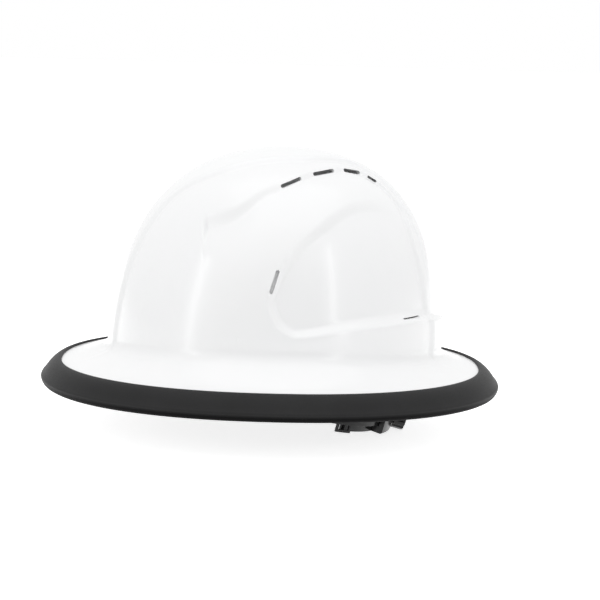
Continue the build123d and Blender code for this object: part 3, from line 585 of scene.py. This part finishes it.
def build_shell():
    """The wall as one closed mesh: its outside, the flange that the trim holds, its inside."""
    columns = 640
    rows = (160, 12, 24)
    ox, oy, oz, angle = shell_side(0.0, OUTER_FILLET, 1.0, columns, *rows)
    ix, iy, iz, _ = shell_side(WALL, INNER_FILLET, INSIDE_WIDTH, columns, *rows)

    # The flange goes out level, round its edge and back under the brim
    flange = (
        (0.6, -0.25), (2.0, -0.5), (4.0, -0.55), (4.5, -1.0), (4.5, -2.3), (4.0, -2.8), (1.0, -2.8),
    )
    fx, fy, fz = (
        np.array(part)
        for part in zip(*((*brim_edge(angle, grow), np.full(columns, z)) for grow, z in flange))
    )
    x = np.vstack([ox, fx, ix[::-1]])
    y = np.vstack([oy, fy, iy[::-1]])
    z = np.vstack([oz, fz, iz[::-1]])

    # The first and last rows are single points at the crown
    grid = np.stack([x, y, z + BRIM_Z], axis=-1)
    middle = grid[1:-1].reshape(-1, 3)
    points = np.vstack([grid[0].mean(axis=0)[None], middle, grid[-1].mean(axis=0)[None]])
    faces = turned(lattice(len(grid) - 2, columns, start=1))
    end = len(points) - 1
    last = end - columns
    for j in range(columns):
        k = (j + 1) % columns
        faces += [(0, 1 + j, 1 + k), (end, last + k, last + j)]
    return add_mesh("moulded_shell", points, faces, WHITE)


# ---------------------------------------------------------------- vents, slots and key sockets

# Where the suspension keys stand: directions from the suspension's centre, seen from above, and
# how far each one's socket block goes past the wall's inside, which leans away at the back
SUSPENSION_Y = -10.0
KEY_TURN = radians(28)
KEYS = [
    ((side * sin(KEY_TURN), end * cos(KEY_TURN)), past)
    for end, past in ((-1, -1.8), (1, 2.2)) for side in (1, -1)
] + [((1.0, 0.0), 0.0), ((-1.0, 0.0), 0.0)]

# Where each vent starts and ends along the hat, and its height, all from the photograph
VENTS = [(4.3, 18.1, 2.6), (26.4, 40.9, 2.6), (47.9, 59.8, 2.5), (65.2, 71.6, 1.7)]
VENT_ASIDE = 1.1
VENT_DEPTH = 15

# The ear slot's upper and lower end, its length and width, and the web that closes its back
EAR_SLOT_TOP, EAR_SLOT_FOOT = (88.9, 3.7, 78.8), (92.9, -1.3, 62.0)
EAR_SLOT = (17, 2.6)
EAR_SLOT_DEPTH = 20
EAR_WEB = (20.5, 6.4, 2.6)

# The thin slot above the ledge at the back: its ends, then its length, height and depth
REAR_SLOT_ENDS = (63.6, 90.6, 43.2), (45.2, 104.3, 43.2)
REAR_SLOT = (20, 1.0, 24)


def slot_solid(centre, along, across, length, width, depth):
    """Bar with rounded ends, for cutting a slot."""
    along, across = Vector(along).normalized(), Vector(across).normalized()
    through = along.cross(across).normalized()
    outline = []
    r = width / 2
    for turn, end in ((-pi / 2, 1), (pi / 2, -1)):
        for k in range(12):
            a = turn + pi * k / 11
            outline.append((end * (length / 2 - r) + r * cos(a), r * sin(a)))
    points = [
        Vector(centre) + along * u + across * v + through * level
        for level in (-depth / 2, depth / 2)
        for u, v in outline
    ]
    return points, tube_faces(2, len(outline))


def block_solid(direction, near, far, width, low, high, corner):
    """Upright block across a direction from the suspension's centre, its inner edges rounded."""
    dx, dy = direction
    outline = [(far, -width / 2), (far, width / 2)]
    quarter = [pi / 2 * k / 4 for k in range(5)]
    for a in quarter:
        outline.append((near + corner - corner * sin(a), width / 2 - corner + corner * cos(a)))
    for a in quarter:
        outline.append((near + corner - corner * cos(a), -width / 2 + corner - corner * sin(a)))
    points = [
        (dx * u - dy * v, SUSPENSION_Y + dy * u + dx * v, z + BRIM_Z)
        for z in (low, high)
        for u, v in outline
    ]
    return points, tube_faces(2, len(outline))


def wall_reach(direction):
    """Distance from the suspension's centre to the shell's inner wall."""
    dx, dy = direction
    half_x, half_y = DOME_X - WALL, DOME_Y - WALL
    a = (dx / half_x) ** 2 + (dy / half_y) ** 2
    b = 2 * SUSPENSION_Y * dy / half_y ** 2
    c = (SUSPENSION_Y / half_y) ** 2 - 1
    return (-b + (b * b - 4 * a * c) ** 0.5) / (2 * a)


def on_side(point, side):
    """A point given for the right side with its height above the brim's edge, on either side."""
    x, y, z = point
    return Vector((side * x, y, z + BRIM_Z))


def ear_slot_frame(side):
    """Middle of the ear slot's floor, and the directions along, across and out of the slot."""
    a, b = on_side(EAR_SLOT_TOP, side), on_side(EAR_SLOT_FOOT, side)
    across = (a - b).cross(Vector((side, 0, 0))).normalized()
    return (a + b) / 2, a - b, across, across.cross(a - b).normalized()


def vent_cutter(start, end, height, side):
    ends = []
    for y in (start, end):
        x = float(crown_line(y)) + VENT_ASIDE
        ends.append(on_side((x, y, dome_height_at(x, y) - 0.5 * float(scoop_drop(y))), side))
    along = ends[1] - ends[0]
    outward = Vector((side * along.y, -side * along.x, 0)).normalized()
    across = outward.cross(along).normalized()
    return slot_solid((ends[0] + ends[1]) / 2, along, across, along.length, height, VENT_DEPTH)


def shell_cutters():
    """Vents, ear slots down to their webs, rear slots and the sockets' pockets."""
    solids = [vent_cutter(*vent, side) for vent in VENTS for side in (1, -1)]
    for side in (1, -1):
        floor, along, across, outward = ear_slot_frame(side)
        centre = floor + outward * (EAR_SLOT_DEPTH / 2)
        solids.append(slot_solid(centre, along, across, *EAR_SLOT, EAR_SLOT_DEPTH))
        a, b = (on_side(end, side) for end in REAR_SLOT_ENDS)
        solids.append(slot_solid((a + b) / 2, a - b, (0, 0, 1), *REAR_SLOT))
    for direction, _ in KEYS:
        reach = wall_reach(direction)
        solids.append(block_solid(
            direction, reach - 4.4, reach - 1.8, width=20.4, low=0.0, high=30.2, corner=0.3,
        ))
    return solids


def inner_blocks():
    """Blocks on the wall's inside that carry the sockets, and the ear slots' webs."""
    solids = []
    for direction, past in KEYS:
        reach = wall_reach(direction)
        solids.append(block_solid(
            direction, reach - 5.8, reach + past, width=25.6, low=14.4, high=33.0, corner=1.0,
        ))
    for side in (1, -1):
        floor, along, across, outward = ear_slot_frame(side)
        solids.append(slot_solid(floor + outward * 0.1, along, across, *EAR_WEB))
    return solids


shell = build_shell()
apply_boolean(shell, merged("blocks", inner_blocks(), WHITE), "UNION")
apply_boolean(shell, merged("cutters", shell_cutters(), WHITE), "DIFFERENCE")
shell.data.set_sharp_from_angle(angle=radians(40))
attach(shell, "hat")
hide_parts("shell")


# ---------------------------------------------------------------- rubber edge trim

# Its section, as offsets outside the brim's edge and drops below it
TRIM_SECTION = [
    (0.35, 0.9), (0.3, -0.1), (0.5, -0.75), (1.1, -1.15), (1.9, -1.2), (3.0, -0.95),
    (4.6, -0.25), (6.4, 0.9), (8.4, 2.55), (10.2, 4.5), (11.9, 6.7), (13.2, 8.6),
    (14.2, 9.7), (14.8, 10.4), (15.0, 11.1), (14.85, 12.2), (14.4, 13.5), (13.6, 14.8),
    (12.6, 15.8), (11.4, 16.45), (10.0, 16.7), (6.0, 16.7), (1.0, 16.7), (-1.4, 16.6),
    (-2.4, 16.2), (-2.9, 15.4), (-3.0, 14.2), (-3.0, 10.0), (-3.0, 5.2), (-2.6, 3.9),
    (-1.6, 3.2), (0.4, 3.12), (3.0, 3.12), (4.78, 3.05), (4.8, 0.6), (4.7, 0.35),
    (2.4, 0.33),
]


def build_trim():
    """The trim's section, swept round the brim."""
    columns = 512
    angle = np.linspace(0, 2 * pi, columns, endpoint=False)
    rows = []
    for grow, drop in TRIM_SECTION:
        x, y = brim_edge(angle, grow)
        rows.append(np.stack([x, y, np.full(columns, BRIM_Z - drop)], axis=-1))
    points = np.array(rows).reshape(-1, 3)
    faces = turned(
        tuple(i % len(points) for i in face) for face in lattice(len(rows) + 1, columns)
    )
    return add_mesh("rubber_edge_trim", points, faces, RUBBER, sharp=50)


trim = build_trim()
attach(trim, "hat")
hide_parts("edge_trim")


# ---------------------------------------------------------------- woven crown straps

# Radius of a strap's loop round a key's bar, the bar's distance inside the wall and its height,
# and half the flat stretch over the crown, with the lowest strap's height there and the step
# from one strap to the next
STRAP_LOOP = 3.2
BAR_INSIDE = 5.3
BAR_Z = 6.5
STRAP_FLAT = 24.0
STRAP_CROWN, STRAP_STEP = 118.0, 1.5

# Section of the webbing: places across it, and half the thickness at each
STRAP_ACROSS = np.array([-9.5, -9.35, -8.9, -7.3, -3, 3, 7.3, 8.9, 9.35, 9.5])
STRAP_HALF_THICK = np.array([0.12, 0.38, 0.56, 0.6, 0.6, 0.6, 0.6, 0.56, 0.38, 0.12])

# How far the tail's middle line lies inside the arch's, and a stitch's off the webbing's
TAIL_OFF = 1.27
STITCH_OFF = 0.62
STITCH_LENGTH, THREAD_RADIUS = 2.2, 0.34


def arch_point(reach, rise, grow, angle):
    """Point of a strap's arch in its own upright plane, grown off its middle line."""
    u = STRAP_FLAT + (reach - STRAP_FLAT + grow) * cos(angle)
    return u, BAR_Z + (rise + grow) * sin(angle)


def arch_angle(level, rise, grow):
    """Angle of the arch at a height above the key's bar."""
    return float(np.arcsin(level / (rise + grow)))


def strap_end(reach, rise):
    """One end of a strap, from the tail's tip round the key's bar to where the arch starts."""
    points = [
        arch_point(reach, rise, TAIL_OFF, arch_angle(level, rise, TAIL_OFF))
        for level in np.linspace(26, 9.5, 9)
    ]
    points += [(reach + 1.35, BAR_Z + 7.4), (reach + 1.75, BAR_Z + 5.6), (reach + 2.7, BAR_Z + 4.1)]
    for turn in np.linspace(75, -180, 22):
        a = radians(float(turn))
        points.append((reach + STRAP_LOOP + STRAP_LOOP * cos(a), BAR_Z + STRAP_LOOP * sin(a)))
    return points


def strap_path(front_reach, rear_reach, rise):
    """The strap's middle line in its own upright plane, from tail to tail."""
    front = strap_end(front_reach, rise)
    rear = [(-u, z) for u, z in reversed(strap_end(rear_reach, rise))]
    arch = [arch_point(front_reach, rise, 0, radians(a)) for a in np.linspace(2, 90, 56)]
    flat = [(u, BAR_Z + rise) for u in np.linspace(STRAP_FLAT - 3, 3 - STRAP_FLAT, 14)]
    fall = [arch_point(rear_reach, rise, 0, radians(a)) for a in np.linspace(90, 2, 56)]
    return np.array(front + arch + flat + [(-u, z) for u, z in fall] + rear)


def thread(centre, along, out):
    """One stitch: a short rounded thread pressed into the webbing."""
    along, out = Vector(along).normalized(), Vector(out).normalized()
    across = along.cross(out)
    corners = 6
    rows = ((-0.5, 0.35), (-0.36, 0.85), (0.0, 1.0), (0.36, 0.85), (0.5, 0.35))
    points = []
    for t, size in rows:
        for k in range(corners):
            a = pi / 3 * k
            points.append(
                Vector(centre)
                + along * (STITCH_LENGTH * t)
                + across * (THREAD_RADIUS * size * cos(a))
                + out * (THREAD_RADIUS * size * 0.8 * sin(a) - 0.25 * (1 - size))
            )
    return points, tube_faces(len(rows), corners)


def tail_stitches(front, reach, rise, turn):
    """Stitches that close one tail, on both faces: two sides, two ends and a cross.

    The turn is 1 for the end in the front direction and -1 for the opposite one.
    """
    fx, fy = front
    side = Vector((fy, -fx, 0))
    lines = [(level, (-7.2, 7.2), False) for level in np.arange(9.5, 25.0, 2.9)]
    lines += [(level, np.arange(-5.6, 5.7, 2.8), True) for level in (8.6, 24.6)]
    lines += [(10.4 + 3.1 * k, (-5.2 + 2.6 * k, 5.2 - 2.6 * k), False) for k in range(5)]
    made = []
    for grow, face in ((TAIL_OFF + STITCH_OFF, 1), (-STITCH_OFF, -1)):
        for level, places, crosswise in lines:
            angle = arch_angle(level, rise, grow)
            u, z = arch_point(reach, rise, grow, angle)
            next_u, next_z = arch_point(reach, rise, grow, angle + 0.01)
            step = turn * (next_u - u)
            run = Vector((fx * step, fy * step, next_z - z)).normalized()
            out = side.cross(run) * turn * face
            if out.dot(Vector((fx * turn, fy * turn, 0))) * face < 0:
                out = -out
            middle = Vector((fx * turn * u, SUSPENSION_Y + fy * turn * u, BRIM_Z + z))
            for w in places:
                made.append(thread(middle + side * float(w), side if crosswise else run, out))
    return made


def build_strap(name, front, rear, layer, stitches):
    """A flat woven strap sewn round the bars of two opposite keys."""
    front_reach = wall_reach(front) - BAR_INSIDE - STRAP_LOOP
    rear_reach = wall_reach(rear) - BAR_INSIDE - STRAP_LOOP
    rise = STRAP_CROWN + layer * STRAP_STEP - BAR_Z
    path = strap_path(front_reach, rear_reach, rise)
    step = np.gradient(path, axis=0)
    step /= np.linalg.norm(step, axis=1)[:, None]
    normal = np.stack([step[:, 1], -step[:, 0]], axis=1)
    along = np.r_[0, np.cumsum(np.linalg.norm(np.diff(path, axis=0), axis=1))]
    ring_w = np.r_[STRAP_ACROSS, STRAP_ACROSS[::-1]]
    ring_t = np.r_[STRAP_HALF_THICK, -STRAP_HALF_THICK[::-1]]
    fx, fy = front
    points, uvs = [], []
    for (u, z), (nu, nz), s in zip(path, normal, along):
        for w, t in zip(ring_w, ring_t):
            uu, zz = u + nu * t, z + nz * t
            points.append((fx * uu + fy * w, SUSPENSION_Y + fy * uu - fx * w, BRIM_Z + zz))
            uvs.append((w * MM, s * MM))
    strap = add_mesh(name, points, tube_faces(len(path), len(ring_w)), WEBBING, sharp=60)
    layer_uv = strap.data.uv_layers.new(name="along")
    for loop in strap.data.loops:
        layer_uv.data[loop.index].uv = uvs[loop.vertex_index]
    stitches += tail_stitches(front, front_reach, rise, 1)
    stitches += tail_stitches(front, rear_reach, rise, -1)
    return strap


turn_sin, turn_cos = sin(KEY_TURN), cos(KEY_TURN)
stitches = []
for layer, (name, front, rear) in enumerate((
    ("left_diagonal", (-turn_sin, turn_cos), (turn_sin, -turn_cos)),
    ("right_diagonal", (turn_sin, turn_cos), (-turn_sin, -turn_cos)),
    ("side", (1.0, 0.0), (-1.0, 0.0)),
)):
    strap = build_strap(name + "_webbing", front, rear, layer, stitches)
    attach(strap, "hat")
    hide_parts(name + "_strap")
sewing = merged("strap_stitching", stitches, THREAD, smooth=True)
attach(sewing, "hat")


# ---------------------------------------------------------------- padded brow pad and nape pad

def ripple(s, v):
    """Small even unevenness of a sewn foam piece."""
    return (
        0.12 * np.sin(0.31 * s + 1.3) * np.cos(0.23 * v)
        + 0.07 * np.sin(0.83 * s + 0.4 * v)
        + 0.05 * np.sin(1.7 * s - 0.9 * v + 2.0)
    )


def bell(distance, width):
    return np.exp(-(distance / width) ** 2)


def build_pad(name, line, normal, tilt, half_height, thickness, channel):
    """Foam pad along a line, tilted round the pivot line.

    It is flat on what carries it and crowned inside, with sewn channels and a bound edge.
    """
    run = np.r_[0, np.cumsum(np.linalg.norm(np.diff(line, axis=0), axis=1))]
    total = run[-1]
    count = int(round(total / channel))
    seams = total * np.arange(1, count) / count
    v_in = np.concatenate([
        [-half_height, -half_height + 0.25, -half_height + 0.9],
        np.linspace(-half_height + 1.8, half_height - 1.8, 27),
        [half_height - 0.9, half_height - 0.25, half_height],
    ])
    v_out = np.linspace(half_height - 0.3, -half_height + 0.3, 8)
    crown = (1 - np.abs(v_in / half_height) ** 3.2) ** 0.75
    to_edge = half_height - np.abs(v_in)
    binding = 0.55 * bell(to_edge - 1.3, 0.75) - 0.45 * bell(to_edge - 3.1, 0.55)
    rows = []
    for (x, y), (nx, ny), s in zip(line, normal, run):
        to_end = np.clip(min(s, total - s) / 5.0, 0, 1)
        end_cap = np.sqrt(np.clip(1 - (1 - to_end) ** 2, 0, 1))
        seam = min(sum(bell(s - place, 1.1) for place in seams), 1)
        inner = 1.1 + (thickness - 1.35) * crown * (0.35 + 0.65 * end_cap)
        inner = inner * (1 - 0.42 * seam * np.clip(crown * 1.6, 0, 1))
        inner = np.clip(inner + binding + ripple(s, v_in) * crown, 0.5, thickness)
        inner[0] = inner[-1] = 0.45
        inner[1] = inner[-2] = 0.9
        shrink = 1 - 0.12 * (1 - end_cap)
        ring = [(x - nx * d, y - ny * d, v * shrink) for d, v in zip(inner, v_in)]
        ring += [(x - nx * 0.12, y - ny * 0.12, v * shrink) for v in v_out]
        rows.append(ring)
    grid = np.array(rows)
    x, y, z = grid.reshape(-1, 3).T
    c, t = cos(tilt), sin(tilt)
    points = np.stack([x, PIVOT.y + y * c + z * t, PIVOT.z - y * t + z * c], axis=1)
    return add_mesh(name, points, tube_faces(len(grid), grid.shape[1]), PADDING)


def ellipse_line(half_x, half_y, start, end, count):
    """Points and outward normals along an ellipse round the pivot line's middle."""
    a = np.radians(np.linspace(start, end, count))
    line = np.stack([half_x * np.cos(a), half_y * np.sin(a)], axis=1)
    normal = np.stack([np.cos(a) / half_x, np.sin(a) / half_y], axis=1)
    return line, normal / np.linalg.norm(normal, axis=1)[:, None]


line, normal = ellipse_line(85.5, 109.8, 207.6, 332.4, 240)
brow = build_pad(
    "sewn_brow_pad", line, normal, radians(8), half_height=15.4, thickness=4.2, channel=21.0,
)
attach(brow, "hat")
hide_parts("brow_pad")
line, normal = ellipse_line(78.5, 78.5, 50.5, 129.5, 160)
nape = build_pad(
    "sewn_nape_pad", line, normal, radians(14), half_height=16.4, thickness=4.0, channel=19.0,
)
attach(nape, "nape_unit")
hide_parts("nape_pad")


# ---------------------------------------------------------------- materials of the carried pieces

finishes = [
    (BLACK, ("front_left_key", "front_right_key", "side_left_key", "side_right_key")),
    (BLACK, ("rear_left_key", "rear_right_key", "left_stud", "right_stud")),
    (BAND, ("headband",)),
    (GLOSS, ("left_arm", "right_arm", "ratchet_housing", "housing_back_plate", "knob")),
    (STEEL, ("case_screws", "knob_screw")),
    (NYLON, ("drive_pinion", "detent_spring")),
]
for material, names in finishes:
    for name in names:
        mesh = nodes[name].data
        mesh.materials.clear()
        mesh.materials.append(material)


# ---------------------------------------------------------------- floor, lamps and world

FLOOR_LIFT = 0.8
LAMP_AIM = Vector((0, 0, 0.12))
LAMPS = [
    # name, place, width, height and power
    ("overhead", (0.3, 0.0, 1.6), 1.6, 1.6, 4.2),
    ("front_strip", (0.98, -1.39, 0.5), 0.16, 1.2, 2.2),
    ("back_strip", (1.23, 0.93, 0.5), 0.1, 1.2, 1.6),
]


def seen_directly(tree):
    """1 for a ray from the camera, a mirror or glass, and 0 for any other."""
    rays = node(tree, "ShaderNodeLightPath", {}).outputs
    mirrored = calc(tree, "MAXIMUM", rays["Is Glossy Ray"], rays["Is Transmission Ray"])
    return calc(tree, "MAXIMUM", rays["Is Camera Ray"], mirrored)


def build_floor():
    """A pale floor, lifted towards white where it is seen directly."""
    bpy.ops.mesh.primitive_plane_add(size=12, location=(0, 0, 0))
    floor = bpy.context.object
    floor.name = "floor"
    mat, tree, shader = new_material("pale_floor")
    put(tree, shader, {
        "Base Color": (0.86, 0.86, 0.86, 1), "Roughness": 0.9, "Specular IOR Level": 0.1,
    })
    strength = calc(tree, "MULTIPLY", seen_directly(tree), FLOOR_LIFT)
    lift = node(tree, "ShaderNodeEmission", {"Strength": strength})
    both = node(tree, "ShaderNodeAddShader", {0: shader.outputs[0], 1: lift.outputs[0]})
    put(tree, tree.nodes["Material Output"], {"Surface": both.outputs[0]})
    floor.data.materials.append(mat)


def area_lamp(name, location, width, height, power):
    """A rectangular lamp that faces the hat."""
    data = bpy.data.lights.new(name, "AREA")
    data.energy = power
    data.shape = "RECTANGLE"
    data.size = width
    data.size_y = height
    lamp = bpy.data.objects.new(name, data)
    scene.collection.objects.link(lamp)
    lamp.location = location
    lamp.rotation_euler = (Vector(location) - LAMP_AIM).to_track_quat("Z", "Y").to_euler()


def build_world():
    """White all round, dimmer in a gap between the softboxes, low on the camera's side."""
    world = bpy.data.worlds.new("studio")
    scene.world = world
    world.use_nodes = True
    tree = world.node_tree
    direction = split(tree, node(tree, "ShaderNodeTexCoord", {}).outputs["Generated"])
    facing = span(tree, direction["X"], 0.62, 0.86, 0.0, 1.0)
    low = span(tree, calc(tree, "ABSOLUTE", direction["Z"]), 0.35, 0.65, 1.0, 0.0)
    gap = calc(tree, "MULTIPLY", facing, low)
    lighting = tree.nodes["Background"]
    visible = node(tree, "ShaderNodeBackground", {})
    for shader, around, in_gap in ((lighting, 0.95, 0.6), (visible, 1.0, 0.4)):
        strength = span(tree, gap, 0.0, 1.0, around, in_gap)
        put(tree, shader, {"Color": (1, 1, 1, 1), "Strength": strength})
    sockets = {0: seen_directly(tree), 1: lighting.outputs[0], 2: visible.outputs[0]}
    mix = node(tree, "ShaderNodeMixShader", sockets)
    put(tree, tree.nodes["World Output"], {"Surface": mix.outputs[0]})


build_floor()
build_world()
for lamp in LAMPS:
    area_lamp(*lamp)

scene.view_settings.view_transform = "Standard"
